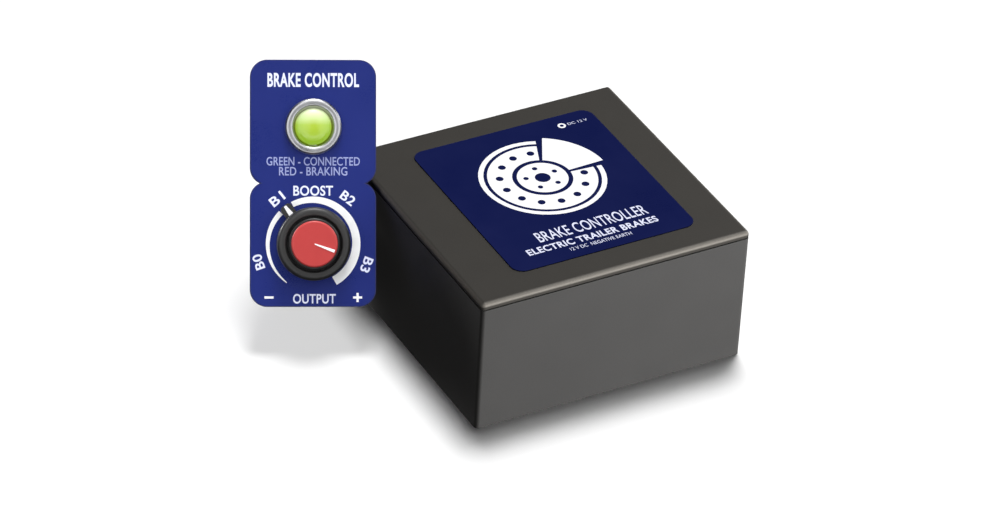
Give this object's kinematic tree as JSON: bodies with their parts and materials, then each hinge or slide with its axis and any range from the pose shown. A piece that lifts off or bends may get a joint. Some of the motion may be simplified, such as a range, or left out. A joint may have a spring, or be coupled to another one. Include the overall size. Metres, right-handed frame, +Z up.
{
  "type": "brake controller",
  "caption": "Trailer brake controller: closed box module with a printed lid, and a leaning remote head with a ring dial, an inner push-and-turn knob and an indicator lamp.",
  "frame": {"origin": "centre of the module's flat base", "axes": "+Z up from the base, +X along the module's long side, +Y towards the module's socket wall"},
  "size_m": [0.1029, 0.0844, 0.0592],
  "materials": {
    "case_plastic": "fine spark texture, satin",
    "seal_rubber": "matte",
    "lid_print": "satin printed film",
    "screw_steel": "zinc plated",
    "circuit_board": "solder mask",
    "chip_plastic": "moulded",
    "spreader_metal": "milled",
    "can_sleeve": "shrink sleeve",
    "copper_wire": "enamelled",
    "socket_plastic": "moulded nylon",
    "contact_tin": "tinned",
    "facia_plastic": "moulded",
    "facia_print": "satin printed film",
    "shell_plastic": "fine texture",
    "chrome": "polished",
    "lens_green": "clear tinted",
    "lamp_body": "clear",
    "control_plastic": "moulded",
    "track_film": "carbon film",
    "brass": "turned",
    "shaft_steel": "turned",
    "knob_black": "satin",
    "cap_red": "satin",
    "white_print": "ink",
    "grommet_rubber": "matte"
  },
  "bodies": {
    "module": {"case_body": "case_plastic", "case_lid": "case_plastic", "lid_gasket": "seal_rubber", "lid_label": "lid_print", "case_screws": "screw_steel", "main_board": "circuit_board", "board_screws": "screw_steel", "microcontroller": "chip_plastic", "motion_sensor": "chip_plastic", "filter_capacitors": "can_sleeve", "choke_coil": "copper_wire", "current_shunt": "copper_wire", "heat_spreader": "spreader_metal", "power_transistors": "chip_plastic", "transistor_screws": "screw_steel", "harness_header": "socket_plastic", "harness_pins": "contact_tin", "head_socket": "socket_plastic", "head_socket_contacts": "contact_tin"},
    "remote_head": {"facia_plate": "facia_plastic", "facia_label": "facia_print", "head_housing": "shell_plastic", "head_cover": "shell_plastic", "cover_screws": "screw_steel", "head_screws": "screw_steel", "head_board": "circuit_board", "cable_grommet": "grommet_rubber", "led_bezel": "chrome", "led_nut": "brass", "led_lens": "lens_green", "led_lamp": "lamp_body", "control_case": "control_plastic", "resistive_tracks": "track_film", "control_terminals": "contact_tin", "control_bush": "brass", "bush_nut": "brass", "switch_case": "control_plastic", "override_spring": "shaft_steel"},
    "boost_control": {"boost_ring": "knob_black", "boost_mark": "white_print", "boost_shaft": "brass", "boost_wiper": "contact_tin"},
    "override_switch": {"override_plunger": "control_plastic"},
    "output_control": {"output_knob": "knob_black", "output_cap": "cap_red", "output_mark": "white_print", "output_shaft": "shaft_steel", "output_rotor": "contact_tin"}
  },
  "joints": [
    {"name": "head_lift", "type": "slide", "parent": "module", "child": "remote_head", "axis": [0, 0, 1], "range_m": [0, 0.06]},
    {"name": "boost_turn", "type": "hinge", "parent": "remote_head", "child": "boost_control", "pos_m": [-0.05205, 0.01693, 0.02436], "axis": [0.3384, 0.746, -0.5736], "range_deg": [-72.7, 147.3]},
    {"name": "override_push", "type": "slide", "parent": "remote_head", "child": "override_switch", "axis": [0.3384, 0.746, -0.5736], "range_m": [0, 0.001], "stiffness_N_per_m": 500, "springref_m": -0.004, "deforming": ["override_spring"]},
    {"name": "output_turn", "type": "hinge", "parent": "override_switch", "child": "output_control", "pos_m": [-0.05205, 0.01693, 0.02436], "axis": [0.3384, 0.746, -0.5736], "range_deg": [-260, 40]}
  ]
}
